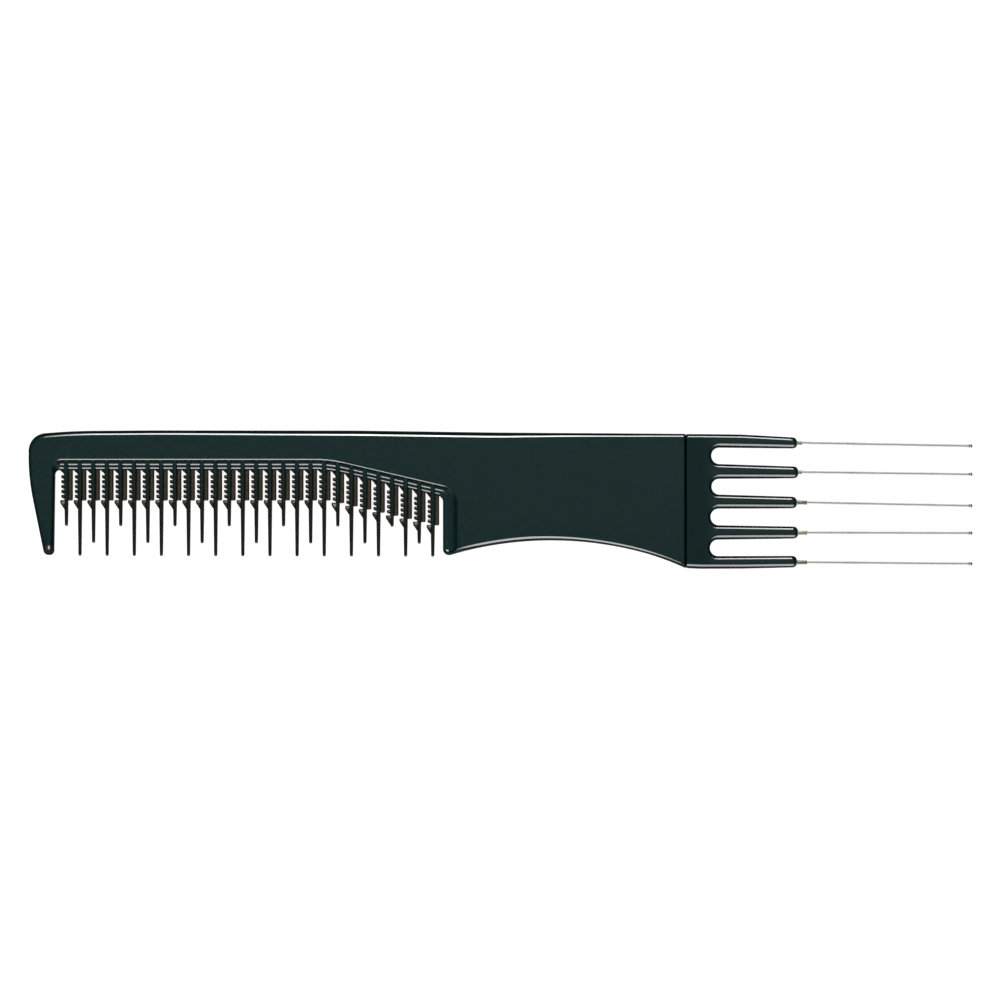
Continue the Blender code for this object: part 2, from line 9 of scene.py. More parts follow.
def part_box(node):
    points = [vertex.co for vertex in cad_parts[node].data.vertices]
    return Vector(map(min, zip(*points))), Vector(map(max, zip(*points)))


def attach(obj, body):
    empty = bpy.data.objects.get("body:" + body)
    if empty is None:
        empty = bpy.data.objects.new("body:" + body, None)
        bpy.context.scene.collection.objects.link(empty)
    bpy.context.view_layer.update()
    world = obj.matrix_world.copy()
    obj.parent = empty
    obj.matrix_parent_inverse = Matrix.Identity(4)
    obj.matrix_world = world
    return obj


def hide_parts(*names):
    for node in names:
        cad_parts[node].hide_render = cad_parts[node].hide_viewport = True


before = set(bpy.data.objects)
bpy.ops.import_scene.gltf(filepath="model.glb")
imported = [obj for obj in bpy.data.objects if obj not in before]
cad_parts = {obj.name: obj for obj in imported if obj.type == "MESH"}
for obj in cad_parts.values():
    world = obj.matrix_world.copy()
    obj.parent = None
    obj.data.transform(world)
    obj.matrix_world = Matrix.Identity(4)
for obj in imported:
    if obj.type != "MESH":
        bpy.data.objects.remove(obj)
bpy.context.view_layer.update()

# Comb blade, its shape
# Spine, guard, 28 teeth and handle are one hard moulding from a two-part tool, split on the
# plane through the middle of its thickness. Depths run from the spine's top towards the teeth.
COMB_HEIGHT = 0.02924
BLADE_THICKNESS = 0.0040
BLADE_LENGTH = 0.139145
JOINT_SET_BACK = 0.0001
WALL_DRAFT = 0.00004
SEAM_RIDGE = 0.00005
SPINE_DEPTH = 0.00835
TOP_EDGE_FALL = 0.00073
# Stations as shares of the blade's length, with the shares of its fall that the top edge has
# there, and the rounds of the edge from each of them to the next
TOP_EDGE_SHARES = (
    (1, 1), (0.93, 0.907), (0.86, 0.815), (0.80, 0.736), (0.74, 0.656), (0.705, 0.61),
    (0.50, 0.06), (0.34, 0.03), (0.19, 0), (0.087, 0.13), (0.056, 0.35))
TOP_EDGE_ROUNDS = (
    0.00056, 0.0007, 0.0007, 0.0009, 0.00106,
    0.00106, 0.00106, 0.00086, 0.00086, 0.00086, 0.00086)
TOP_EDGE_EASE = 0.0021

GUARD_WIDTH = 0.00562
GUARD_REACH = 0.02632
GUARD_TIP_WIDTH = 0.00206
GUARD_INNER_DRAFT = 0.00025
GUARD_OUTER_SHARES = ((0.0, 0.30), (0.086, 0.471))
GUARD_OUTER_EASE = 0.0024
GUARD_TIP_EASES = (0.00096, 0.00103)
GUARD_EDGE_ROUND = 0.00089
GUARD_BEND_PLACE = 0.00178
GUARD_BEND_LENGTH = 0.00042
GUARD_TIP_SLOPE = 0.85
GUARD_CROWN = 0.38
GUARD_CROWN_LENGTH = 0.0070
GUARD_CROWN_POWER = 6
GUARD_CROWN_CUTS = 8
GUARD_CUTS = 42
GUARD_CUT_CROWDING = 1.5
CORNER_DROP = 0.00086
CORNER_EASE = 0.0039
GUARD_ROOT_EASE = 0.00085

TOOTH_COUNT = 28
TOOTH_PITCH = 0.002875
FIRST_TOOTH_OFFSET = 0.00236
WALL_STATION = 0.087805
HEEL_DEPTH = 0.02677
HEEL_EASE = 0.00178
HEEL_CLEARANCE = 0.0037
# The arch's crown, past the wall and below the spine's top, and the rounds of the arch's edge by
# the share of the way along it
ARCH_CROWN = (0.022634, 0.02323)
ARCH_ROUNDS = ((0, 0.00112), (0.35, 0.00116), (0.62, 0.0009), (1, 0.00075))
ARCH_FLARE = 0.0003
ARCH_FLARE_START = 0.78
JOINT_BOTTOM_DEPTH = 0.02910
JOINT_EDGE_ROUND = 0.00055
JOINT_CORNER_EASE = 0.00012
ROOT_SLOPE_LENGTH = 0.0243
ROOT_SLOPE_DROP = 0.00566
ROOT_CORNER_EASE = 0.0010
ROOT_BEND_EASE = 3 * ROOT_CORNER_EASE

# Distances in from the edge, and heights above the parting plane, of the stepped ledge that the
# teeth grow out of and of the one up the handle's end wall
LEDGE_PROFILE = (
    (-SEAM_RIDGE, 0), (0, SEAM_RIDGE), (0, 0.00054), (0.00013, 0.0007), (0.00027, 0.00083),
    (0.00038, 0.000905), (0.00052, 0.000955), (0.0007, 0.000985), (0.00092, 0.0010),
    (0.00102, 0.00112), (0.00114, 0.0012), (0.00132, 0.00126), (0.00152, 0.00129),
    (0.00175, 0.00131), (0.00207, 0.00178), (0.00214, 0.00185), (0.00226, 0.00193),
    (0.0025, 0.0020))
WALL_PROFILE = (
    (-SEAM_RIDGE, 0), (0, SEAM_RIDGE), (0, 0.0006), (0.0001, 0.00085), (0.0002, 0.00095),
    (0.0004, 0.0010), (0.0007, 0.00102), (0.001, 0.00103), (0.0013, 0.00105), (0.0015, 0.0011),
    (0.0018, 0.00117), (0.0021, 0.00127), (0.0024, 0.00142), (0.0027, 0.00166),
    (0.0029, 0.00186), (0.0030, 0.00192), (0.00315, 0.00197), (0.0034, 0.0020))

EDGE_STEPS = len(LEDGE_PROFILE) - 3
CORNER_STEPS = 12
GENTLE_STEPS = 6
ARCH_STEPS = 48
LEAST_RADIUS_SHARE = 1 / 8
MOST_EDGE_SHARE = 0.49
STRAIGHT_COSINE = 0.99995

half_thickness = BLADE_THICKNESS / 2
joint_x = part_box("comb_blade")[1].x
comb_place = Vector((joint_x - JOINT_SET_BACK - BLADE_LENGTH, COMB_HEIGHT / 2, half_thickness))

Corner = namedtuple("Corner", "place ease steps edge")


def lerp(start, end, share):
    """The value a share of the way from start to end."""
    return start + (end - start) * share


def between(stops, share):
    """The value at a share of the way, drawn straight between (share, value) stops."""
    for (start, low), (end, high) in zip(stops, stops[1:]):
        if share <= end:
            return lerp(low, high, (share - start) / (end - start))
    return stops[-1][1]


def root_depth(station):
    """Depth of the slot's root, level at first and then sloping down to the handle."""
    slope_start = WALL_STATION - ROOT_SLOPE_LENGTH
    return SPINE_DEPTH + ROOT_SLOPE_DROP * max(0, station - slope_start) / ROOT_SLOPE_LENGTH


def arc_through(start, middle, end, steps):
    """Points from start to end on the circle through three points."""
    chord = middle - start
    normal = chord.orthogonal()
    reach = (end - start).dot(end - middle) / 2 / normal.dot(end - middle)
    centre = start + chord / 2 + normal * reach
    turn = (start - centre).angle_signed(end - centre)
    return [centre + Matrix.Rotation(-turn * step / steps, 2) @ (start - centre)
            for step in range(steps + 1)]


def round_levels(radius):
    """Levels of a rounded edge as (inset, height), from the parting plane up to the face."""
    levels = [(-SEAM_RIDGE, 0), (0, SEAM_RIDGE)]
    for step in range(EDGE_STEPS + 1):
        angle = math.radians(90) * step / EDGE_STEPS
        inset = WALL_DRAFT + radius * (1 - math.cos(angle))
        levels.append((inset, half_thickness - radius * (1 - math.sin(angle))))
    return levels


def left_normal(direction):
    """The direction turned a quarter turn to its left."""
    return Vector((-direction.y, direction.x))


def inset_corner(before, place, after, inset_before, inset_after):
    """Where the two edges at a corner meet once each has moved inwards by its own inset."""
    normal_before = left_normal((place - before).normalized())
    normal_after = left_normal((after - place).normalized())
    cosine = normal_before.dot(normal_after)
    if cosine > STRAIGHT_COSINE:
        middle = (normal_before + normal_after) / 2
        return place + middle * (inset_before + inset_after) / 2
    spread = 1 - cosine * cosine
    along_before = (inset_before - inset_after * cosine) / spread
    along_after = (inset_after - inset_before * cosine) / spread
    return place + normal_before * along_before + normal_after * along_after


def level_ring(corners, edge_levels, level):
    """One closed ring of a moulding at the height of its level, its corners rounded."""
    insets = [edge_levels[corner.edge][level][0] for corner in corners]
    heights = [edge_levels[corner.edge][level][1] for corner in corners]
    count = len(corners)
    places = [inset_corner(corners[i - 1].place, corners[i].place, corners[(i + 1) % count].place,
                           insets[i - 1], insets[i]) for i in range(count)]
    ring = []
    for i, corner in enumerate(corners):
        place = places[i]
        before = place - places[i - 1]
        after = places[(i + 1) % count] - place
        if corner.steps == 0:
            ring.append(Vector((place.x, place.y, lerp(heights[i - 1], heights[i], 1 / 2))))
            continue
        turn = -before.angle_signed(after)
        half_turn = math.tan(abs(turn) / 2)
        radius = corner.ease / half_turn
        shrink = math.copysign((insets[i - 1] + insets[i]) / 2, turn)
        radius = max(radius - shrink, radius * LEAST_RADIUS_SHARE)
        radius = min(radius, min(before.length, after.length) * MOST_EDGE_SHARE / half_turn)
        start = place - before.normalized() * radius * half_turn
        centre = start + left_normal(before.normalized()) * math.copysign(radius, turn)
        for step in range(corner.steps + 1):
            share = step / corner.steps
            point = centre + Matrix.Rotation(turn * share, 2) @ (start - centre)
            ring.append(Vector((point.x, point.y, lerp(heights[i - 1], heights[i], share))))
    return ring


def loft(rings, hollow=False):
    """A mesh through rings of equal length: capped, or hollow with its last ring on its first."""
    mesh = bmesh.new()
    rows = [[mesh.verts.new(point) for point in ring] for ring in rings]
    next_rows = rows[1:] + rows[:1] if hollow else rows[1:]
    for lower, upper in zip(rows, next_rows):
        for i, corner in enumerate(lower):
            j = (i + 1) % len(lower)
            mesh.faces.new((corner, lower[j], upper[j], upper[i]))
    if not hollow:
        mesh.faces.new(list(reversed(rows[0])))
        mesh.faces.new(rows[-1])
    return mesh


def moulding(corners, edge_levels):
    """A flat moulding, alike above and below its parting plane, from its outline's corners."""
    level_count = len(edge_levels[corners[0].edge])
    upper = [level_ring(corners, edge_levels, level) for level in range(level_count)]
    lower = [[Vector((point.x, point.y, -point.z)) for point in ring] for ring in upper[:0:-1]]
    return loft(lower + upper)


def cut_across(mesh, place, normal, is_near=None):
    """Adds edges where a plane crosses the faces, or those that are near, to bend them there."""
    faces = [face for face in mesh.faces if not is_near or is_near(face.calc_center_median())]
    edges = {edge for face in faces for edge in face.edges}
    corners = {vertex for face in faces for vertex in face.verts}
    bmesh.ops.bisect_plane(mesh, geom=[*corners, *edges, *faces], plane_co=place, plane_no=normal)


def body(name, mesh):
    """An object at the comb's place from a finished mesh, with its faces pointing out."""
    bmesh.ops.recalc_face_normals(mesh, faces=mesh.faces)
    data = bpy.data.meshes.new(name)
    mesh.to_mesh(data)
    mesh.free()
    item = bpy.data.objects.new(name, data)
    bpy.context.scene.collection.objects.link(item)
    item.location = comb_place
    return item


def blade_corners():
    """The blade's outline, from the joint along the spine, round the guard and back."""
    corners = []
    for (station_share, fall_share), radius in zip(TOP_EDGE_SHARES, TOP_EDGE_ROUNDS):
        place = Vector((BLADE_LENGTH * station_share, -TOP_EDGE_FALL * fall_share))
        ease = TOP_EDGE_EASE if station_share < 1 else JOINT_CORNER_EASE
        corners.append(Corner(place, ease, GENTLE_STEPS, radius))
    corners.append(Corner(Vector((0, -CORNER_DROP)), CORNER_EASE, CORNER_STEPS, "guard"))
    for width_share, reach_share in GUARD_OUTER_SHARES:
        place = Vector((GUARD_WIDTH * width_share, -GUARD_REACH * reach_share))
        corners.append(Corner(place, GUARD_OUTER_EASE, GENTLE_STEPS, "guard"))
    tip_inner = GUARD_WIDTH - GUARD_INNER_DRAFT
    for station, ease in zip((tip_inner - GUARD_TIP_WIDTH, tip_inner), GUARD_TIP_EASES):
        corners.append(Corner(Vector((station, -GUARD_REACH)), ease, CORNER_STEPS, "guard"))
    guard_root = Vector((GUARD_WIDTH, -SPINE_DEPTH))
    corners.append(Corner(guard_root, GUARD_ROOT_EASE, CORNER_STEPS, "root"))
    slope_start = Vector((WALL_STATION - ROOT_SLOPE_LENGTH, -SPINE_DEPTH))
    corners.append(Corner(slope_start, ROOT_BEND_EASE, GENTLE_STEPS, "root"))
    slope_end = Vector((WALL_STATION, -root_depth(WALL_STATION)))
    corners.append(Corner(slope_end, ROOT_CORNER_EASE, CORNER_STEPS, "wall"))
    heel = Vector((WALL_STATION, -HEEL_DEPTH))
    crown = Vector((WALL_STATION + ARCH_CROWN[0], -ARCH_CROWN[1]))
    joint_bottom = Vector((BLADE_LENGTH, -JOINT_BOTTOM_DEPTH))
    arch = arc_through(heel, crown, joint_bottom + Vector((0, ARCH_FLARE)), ARCH_STEPS)
    corners.append(Corner(heel, HEEL_EASE, CORNER_STEPS, ARCH_ROUNDS[0][1]))
    for step, place in enumerate(arch[:-1]):
        share = step / ARCH_STEPS
        flare = ARCH_FLARE * max(0, share - ARCH_FLARE_START) ** 2 / (1 - ARCH_FLARE_START) ** 2
        if (place - heel).length > HEEL_CLEARANCE:
            place = place - Vector((0, flare))
            corners.append(Corner(place, 0, 0, between(ARCH_ROUNDS, share)))
    corners.append(Corner(joint_bottom, JOINT_CORNER_EASE, GENTLE_STEPS, "joint"))
    return corners


def thin_guard(mesh):
    """Brings the guard's two faces together at its tip, and crowns them there."""
    guard_edge = GUARD_WIDTH + GUARD_ROOT_EASE
    start = SPINE_DEPTH + GUARD_ROOT_EASE
    length = GUARD_REACH - start
    half_tip = GUARD_TIP_WIDTH / 2
    tip_middle = GUARD_WIDTH - GUARD_INNER_DRAFT - half_tip

    def in_guard(centre):
        return centre.x < guard_edge

    def near_tip(centre):
        return in_guard(centre) and -centre.y > GUARD_REACH - GUARD_CROWN_LENGTH

    cut_across(mesh, (guard_edge, 0, 0), (1, 0, 0))
    for cut in range(GUARD_CUTS):
        depth = start + length * (1 - (1 - cut / GUARD_CUTS) ** GUARD_CUT_CROWDING)
        cut_across(mesh, (0, -depth, 0), (0, 1, 0), in_guard)
    for cut in range(1, GUARD_CROWN_CUTS):
        across = half_tip * (2 * cut / GUARD_CROWN_CUTS - 1)
        cut_across(mesh, (tip_middle + across, 0, 0), (1, 0, 0), near_tip)
    for vertex in mesh.verts:
        share = (-vertex.co.y - start) / length
        if vertex.co.x > guard_edge or share <= 0:
            continue
        past_bend = GUARD_BEND_PLACE - (GUARD_REACH + vertex.co.y)
        drop = GUARD_TIP_SLOPE * (past_bend + math.hypot(past_bend, GUARD_BEND_LENGTH)) / 2
        across = min(1, abs(vertex.co.x - tip_middle) / half_tip)
        crown = 1 - GUARD_CROWN * across ** 2 * min(1, share) ** GUARD_CROWN_POWER
        vertex.co.z *= (1 - drop / half_thickness) * crown


def blade_body():
    """Spine, guard and handle, before the teeth are joined to them."""
    edge_levels = {
        "guard": round_levels(GUARD_EDGE_ROUND),
        "root": LEDGE_PROFILE,
        "wall": WALL_PROFILE,
        "joint": round_levels(JOINT_EDGE_ROUND),
    }
    corners = blade_corners()
    for corner in corners:
        if corner.edge not in edge_levels:
            edge_levels[corner.edge] = round_levels(corner.edge)
    mesh = moulding(corners, edge_levels)
    thin_guard(mesh)
    return mesh


blade = body("comb_blade_polished", blade_body())


# Comb blade, its teeth
# Each tooth is a stiff tapering rib with a thin web on the parting plane: a plain strip on the
# handle's side, five micro teeth and a barb on the other, which pack the hair when it is teased.
TOOTH_ROOT_WIDTH = 0.00088
TOOTH_TIP_WIDTH = 0.00046
TOOTH_ROOT_THICKNESS = 0.0034
TOOTH_TIP_THICKNESS = 0.0014
TOOTH_EDGE_ROUND = 0.00017
TOOTH_DRAFT = 0.00012
TOOTH_TIP_ROUND = 0.00034
TOOTH_REACHES = (0.02026, 0.02658, 0.02384, 0.02658)
REACH_DRIFT = (-0.00003, 0.00017)
RIB_HEAD_INSET = 0.00246
RIB_NECK_INSET = 0.0001
RIB_CORNER_STEPS = 5
RIB_ROUND_LIMIT = 0.7
TIP_STEPS = 6
TIP_DOME_ANGLE = math.radians(86)

WEB_THICKNESS = 0.0009
WEB_CHAMFER = 0.00025
WEB_CHAMFER_STEPS = 3
WEB_CORNER_STEPS = 5
STRIP_WIDTH = 0.00093
STRIP_END_EASE = 0.00028
STRIP_END_DROP = 0.00014
MICRO_TOOTH_COUNT = 5
MICRO_TOOTH_PITCH = 0.001035
MICRO_TOOTH_REACH = 0.00066
MICRO_TOOTH_HEIGHT = 0.00101
MICRO_TOOTH_UPPER_SHARE = 0.36
MICRO_TOOTH_NOSE = 0.00064
MICRO_TOOTH_EASE = 0.00019
FIRST_MICRO_TOOTH_DEPTH = 0.00140
BARB_OVERHANG = 0.00023
BARB_DROP = 0.00081
BARB_HEIGHT = 0.00230
BARB_NOSE = 0.00060
ROOT_GUSSET = 0.00110
WEB_BURY = 0.00053
SMOOTH_ANGLE = math.radians(38)

web_depth = FIRST_MICRO_TOOTH_DEPTH + MICRO_TOOTH_PITCH * (MICRO_TOOTH_COUNT - 1) + BARB_DROP


def tooth_station(index):
    """Station of a tooth's middle."""
    return GUARD_WIDTH + FIRST_TOOTH_OFFSET + TOOTH_PITCH * index


def tooth_rib(index):
    """The stiff middle of one tooth: a round-edged bar that tapers to a domed tip."""
    station = tooth_station(index)
    reach = TOOTH_REACHES[index % len(TOOTH_REACHES)] + lerp(*REACH_DRIFT, index / TOOTH_COUNT)
    head = root_depth(station) - RIB_HEAD_INSET
    neck = root_depth(station) - RIB_NECK_INSET
    sections = [(head, 0), (neck, 0)]
    for step in range(TIP_STEPS + 1):
        angle = TIP_DOME_ANGLE * step / TIP_STEPS
        sections.append((reach - TOOTH_TIP_ROUND * (1 - math.sin(angle)), 1 - math.cos(angle)))
    rings = []
    for depth, closing in sections:
        taper = max(0, depth - neck) / (reach - neck)
        half_width = lerp(TOOTH_ROOT_WIDTH, TOOTH_TIP_WIDTH, taper) / 2 * (1 - closing)
        half_height = lerp(TOOTH_ROOT_THICKNESS, TOOTH_TIP_THICKNESS, taper) / 2 * (1 - closing)
        round_edge = min(TOOTH_EDGE_ROUND, half_width * RIB_ROUND_LIMIT)
        draft = TOOTH_DRAFT * (1 - closing)
        ring = [Vector((station + half_width + draft, -depth, 0))]
        for quarter, (side, up) in enumerate(((1, 1), (-1, 1), (-1, -1), (1, -1))):
            if quarter == 2:
                ring.append(Vector((station - half_width - draft, -depth, 0)))
            for step in range(RIB_CORNER_STEPS + 1):
                angle = math.radians(90) * (quarter + step / RIB_CORNER_STEPS)
                ring.append(Vector((
                    station + side * (half_width - round_edge) + round_edge * math.cos(angle),
                    -depth,
                    up * (half_height - round_edge) + round_edge * math.sin(angle))))
        rings.append(ring)
    return loft(rings)


def tooth_web(index):
    """The thin plate of one tooth, its edges chamfered."""
    station = tooth_station(index)
    rib_side = TOOTH_ROOT_WIDTH / 2
    inside = rib_side / 2
    strip_side = rib_side + STRIP_WIDTH
    gusset_side = rib_side + ROOT_GUSSET
    root = root_depth(station + rib_side)
    gusset_top = root_depth(station - gusset_side) - RIB_NECK_INSET
    top = gusset_top - WEB_BURY
    outline = [
        (strip_side, top, 0),
        (-gusset_side, top, 0),
        (-gusset_side, gusset_top, 0),
        (-inside, root + ROOT_GUSSET, 0),
    ]
    for tooth in range(MICRO_TOOTH_COUNT):
        depth = root + FIRST_MICRO_TOOTH_DEPTH + MICRO_TOOTH_PITCH * tooth
        nose = rib_side + MICRO_TOOTH_REACH
        outline += [
            (-inside, depth - MICRO_TOOTH_HEIGHT * MICRO_TOOTH_UPPER_SHARE, 0),
            (-nose, depth - MICRO_TOOTH_NOSE / 2, MICRO_TOOTH_EASE),
            (-nose, depth + MICRO_TOOTH_NOSE / 2, MICRO_TOOTH_EASE),
            (-inside, depth + MICRO_TOOTH_HEIGHT * (1 - MICRO_TOOTH_UPPER_SHARE), 0),
        ]
    bottom = root + web_depth
    barb_side = rib_side + MICRO_TOOTH_REACH + BARB_OVERHANG
    outline += [
        (-inside, bottom, 0),
        (-barb_side, bottom, MICRO_TOOTH_EASE),
        (-barb_side, bottom + BARB_NOSE, MICRO_TOOTH_EASE),
        (-inside, bottom + BARB_HEIGHT, 0),
        (inside, bottom + STRIP_END_DROP + STRIP_END_EASE, 0),
        (rib_side, bottom + STRIP_END_DROP, 0),
        (strip_side, bottom + STRIP_END_DROP, STRIP_END_EASE),
    ]
    corners = [
        Corner(Vector((station + across, -depth)), ease, WEB_CORNER_STEPS if ease else 0, "web")
        for across, depth, ease in outline]
    half_web = WEB_THICKNESS / 2
    levels = [(0, 0), (0, half_web - WEB_CHAMFER)]
    for step in range(1, WEB_CHAMFER_STEPS + 1):
        angle = math.radians(90) * step / WEB_CHAMFER_STEPS
        levels.append((WEB_CHAMFER * (1 - math.cos(angle)),
                       half_web - WEB_CHAMFER * (1 - math.sin(angle))))
    return moulding(corners, {"web": levels})


def row_of(tooth_shape):
    """One mesh that holds a body of the same kind for every tooth in the row."""
    row = bmesh.new()
    for index in range(TOOTH_COUNT):
        mesh = tooth_shape(index)
        data = bpy.data.meshes.new("tooth")
        mesh.to_mesh(data)
        mesh.free()
        row.from_mesh(data)
        bpy.data.meshes.remove(data)
    return row


def join(item, mesh):
    """Joins other bodies to a piece."""
    guide = body("guide", mesh)
    modifier = item.modifiers.new("join", "BOOLEAN")
    modifier.object = guide
    modifier.operation = "UNION"
    modifier.solver = "MANIFOLD"
    scene_now = bpy.context.evaluated_depsgraph_get()
    result = bpy.data.meshes.new_from_object(item.evaluated_get(scene_now))
    item.modifiers.clear()
    result.materials.clear()
    item.data = result
    bpy.data.objects.remove(guide)


def smooth(item):
    """Shades a piece smooth, with its flat faces kept flat and its sharp edges sharp."""
    item.data.shade_smooth()
    item.data.set_sharp_from_angle(angle=SMOOTH_ANGLE)
    modifier = item.modifiers.new("flat faces stay flat", "WEIGHTED_NORMAL")
    modifier.keep_sharp = True


join(blade, row_of(tooth_rib))
join(blade, row_of(tooth_web))
smooth(blade)


# Comb blade, its finish
# The plastic is green-black right through, and the tool's polish leaves the faces like glass.
# Light gets through the thin webs; their brown is that light painted into their colour, with
# painted shade beside the ribs and on their chamfers. The steep walls stay satin, with painted
# shade in their colour.
class Signal:
    """A shader socket that works in sums: each operator adds the Math node that it needs."""

    def __init__(self, socket):
        self.socket = socket

    @classmethod
    def node(cls, tree, kind, settings=None, inputs=None, output=0):
        """Any node: its settings are set first, and its inputs are values or other signals."""
        made = tree.nodes.new(kind)
        for name, value in (settings or {}).items():
            setattr(made, name, value)
        for name, value in (inputs or {}).items():
            if isinstance(value, Signal):
                tree.links.new(value.socket, made.inputs[name])
            else:
                made.inputs[name].default_value = value
        return cls(made.outputs[output])

    def maths(self, operation, *values):
        return self.node(self.socket.id_data, "ShaderNodeMath", {"operation": operation},
                         dict(enumerate(values)))

    def __add__(self, other):
        return self.maths("ADD", self, other)

    def __sub__(self, other):
        return self.maths("SUBTRACT", self, other)

    def __rsub__(self, other):
        return self.maths("SUBTRACT", other, self)

    def __mul__(self, other):
        return self.maths("MULTIPLY", self, other)

    def __abs__(self):
        return self.maths("ABSOLUTE", self)

    __radd__ = __add__
    __rmul__ = __mul__

    def rise(self, low, high):
        """0 below low and 1 above high, with a soft step between them."""
        return self.node(self.socket.id_data, "ShaderNodeMapRange",
                         {"interpolation_type": "SMOOTHSTEP"},
                         {"Value": self, "From Min": low, "From Max": high})


def blended(tree, share, first, second, how="MIX"):
    """Two colours mixed by a share, each of them a value or a signal."""
    return Signal.node(tree, "ShaderNodeMix", {"data_type": "RGBA", "blend_type": how},
                       {0: share, 6: first, 7: second}, 2)


def axes(tree, vector):
    """The three parts of a vector, each a signal of its own."""
    return [Signal.node(tree, "ShaderNodeSeparateXYZ", {}, {0: vector}, axis) for axis in range(3)]


def noise(tree, place, scale, stretch=(1, 1, 1), detail=3):
    """Soft noise over the object, finer where the scale is larger, drawn out by a stretch."""
    placed = Signal.node(tree, "ShaderNodeMapping", {}, {"Vector": place, "Scale": stretch})
    return Signal.node(tree, "ShaderNodeTexNoise", {}, {
        "Vector": placed, "Scale": scale, "Detail": detail})


def bump(tree, height, strength, depth):
    """The surface's own direction, tilted by the slopes of a height."""
    return Signal.node(tree, "ShaderNodeBump", {}, {
        "Height": height, "Strength": strength, "Distance": depth})


def darker(colour, share):
    """A colour with only a share of its light."""
    return tuple(channel * share for channel in colour[:3]) + (1,)


def new_finish(name, constants):
    """A material with the shader sockets that are the same all over, its tree and its shader."""
    material = bpy.data.materials.new(name)
    material.use_nodes = True
    shader = material.node_tree.nodes["Principled BSDF"]
    for socket, value in constants.items():
        shader.inputs[socket].default_value = value
    return material, material.node_tree, shader


def connect(tree, shader, links):
    """Feeds the shader's sockets that change over the surface."""
    for socket, signal in links.items():
        tree.links.new(signal.socket, shader.inputs[socket])


PLASTIC_COLOUR = (0.0034, 0.0166, 0.0156, 1)
TOOTH_COLOUR = (0.0072, 0.0077, 0.0050, 1)
# The webs' brown: painted light that gets through the thin plate
WEB_PAINTED_LIGHT_COLOUR = (0.053, 0.043, 0.027, 1)
# Painted shade on the webs beside the ribs
WEB_RIB_PAINTED_SHADE_COLOUR = (0.010, 0.0085, 0.0055, 1)
# Painted shade on the webs' sloping chamfers
WEB_CHAMFER_PAINTED_SHADE_COLOUR = (0.009, 0.008, 0.006, 1)
WEB_MOTTLE_SHADE = 0.75
# Share of the colour left on steep walls, as painted shade
STEEP_WALL_PAINTED_SHADE = 0.25
STEEP_WALL_COAT = 0.15
STEEP_WALL_ROUGHNESS = 0.34
WEB_COAT_LOSS = 0.85
WEB_ROUGHENING = 0.14
FLOW_SCALE = 130
FLOW_STRETCH = (1, 2.5, 2.5)
SCRATCH_SCALE = 900
SCRATCH_STRETCH = (0.6, 9, 9)
SPECK_SCALE = 4200
WEB_MOTTLE_SCALE = 1500
PLASTIC_BUMP_DEPTH = 0.00001

# Each look comes or goes between two values: of how straight up or down a face looks, of its
# height off the parting plane, of its share of the way to the next rib, of its depth below the
# root, and of the noise that draws it
# Uprightness over which the steep walls' painted shade gives way to the full colour
UNSHADED_FACES = (0.60, 0.98)
POLISHED_FACES = (0.42, 0.74)
FLAT_FACES = (0.93, 0.999)
WEB_HEIGHTS = (0.00050, 0.00062)
STRIP_START = (0.17, 0.30)
STRIP_MIDDLE = (0.33, 0.39)
NEXT_RIB = (0.74, 0.88)
ROOT_BROWNING_DEPTHS = (0, 0.0006)
END_BROWNING_DEPTHS = (web_depth * 0.8, web_depth * 1.3)
BARB_DEPTHS = (web_depth * 0.97, web_depth)
MOTTLE_PATCHES = (0.30, 0.70)
SCRATCH_LINES = (0.60, 0.72)
ROOT_BROWNING = 0.35
STRIP_FADE = 0.62
BARB_FADE_LOSS = 0.5


def with_webs(tree, place, upright, tone, coat, roughness):
    """The blade's tone, coat and roughness, with the teeth's browner plastic and the webs' painted
    light and shade.
    """
    station, spinewards, height = axes(tree, place)
    among_teeth = station.rise(GUARD_WIDTH, GUARD_WIDTH + TOOTH_DRAFT) * (
        1 - station.rise(WALL_STATION - 2 * SEAM_RIDGE, WALL_STATION - SEAM_RIDGE))
    slope_start = WALL_STATION - ROOT_SLOPE_LENGTH
    slope = (station - slope_start) * (ROOT_SLOPE_DROP / ROOT_SLOPE_LENGTH)
    below_root = 0 - spinewards - SPINE_DEPTH - slope.maths("MAXIMUM", slope, 0)
    browning = (below_root.rise(*ROOT_BROWNING_DEPTHS) * ROOT_BROWNING
                + below_root.rise(*END_BROWNING_DEPTHS) * (1 - ROOT_BROWNING))
    tone = blended(tree, among_teeth * browning, tone, TOOTH_COLOUR)
    # Painted shade across each web: dark right beside the rib, full painted light just past it on
    # the strip, dimmer past the strip's middle and dark again towards the next rib
    turns = (station - tooth_station(0)) * (1 / TOOTH_PITCH)
    from_rib = turns.maths("FRACT", turns)
    fade = STRIP_FADE - below_root.rise(*BARB_DEPTHS) * BARB_FADE_LOSS
    pale = from_rib.rise(*STRIP_START) * (1 - from_rib.rise(*NEXT_RIB)) * (
        1 - from_rib.rise(*STRIP_MIDDLE) * fade)
    # Random patches in the webs' painted light
    mottle = blended(tree, noise(tree, place, WEB_MOTTLE_SCALE).rise(*MOTTLE_PATCHES),
                     WEB_PAINTED_LIGHT_COLOUR, darker(WEB_PAINTED_LIGHT_COLOUR, WEB_MOTTLE_SHADE))
    web = blended(tree, pale, WEB_RIB_PAINTED_SHADE_COLOUR, mottle)
    low = 1 - abs(height).rise(*WEB_HEIGHTS)
    # Painted shade: the webs' sloping chamfers take a near-black colour instead of the painted
    # light
    flat = low * upright.rise(*FLAT_FACES)
    tone = blended(tree, low * among_teeth, tone, blended(tree, flat, WEB_CHAMFER_PAINTED_SHADE_COLOUR, web))
    return tone, coat * (1 - low * WEB_COAT_LOSS), roughness + low * WEB_ROUGHENING


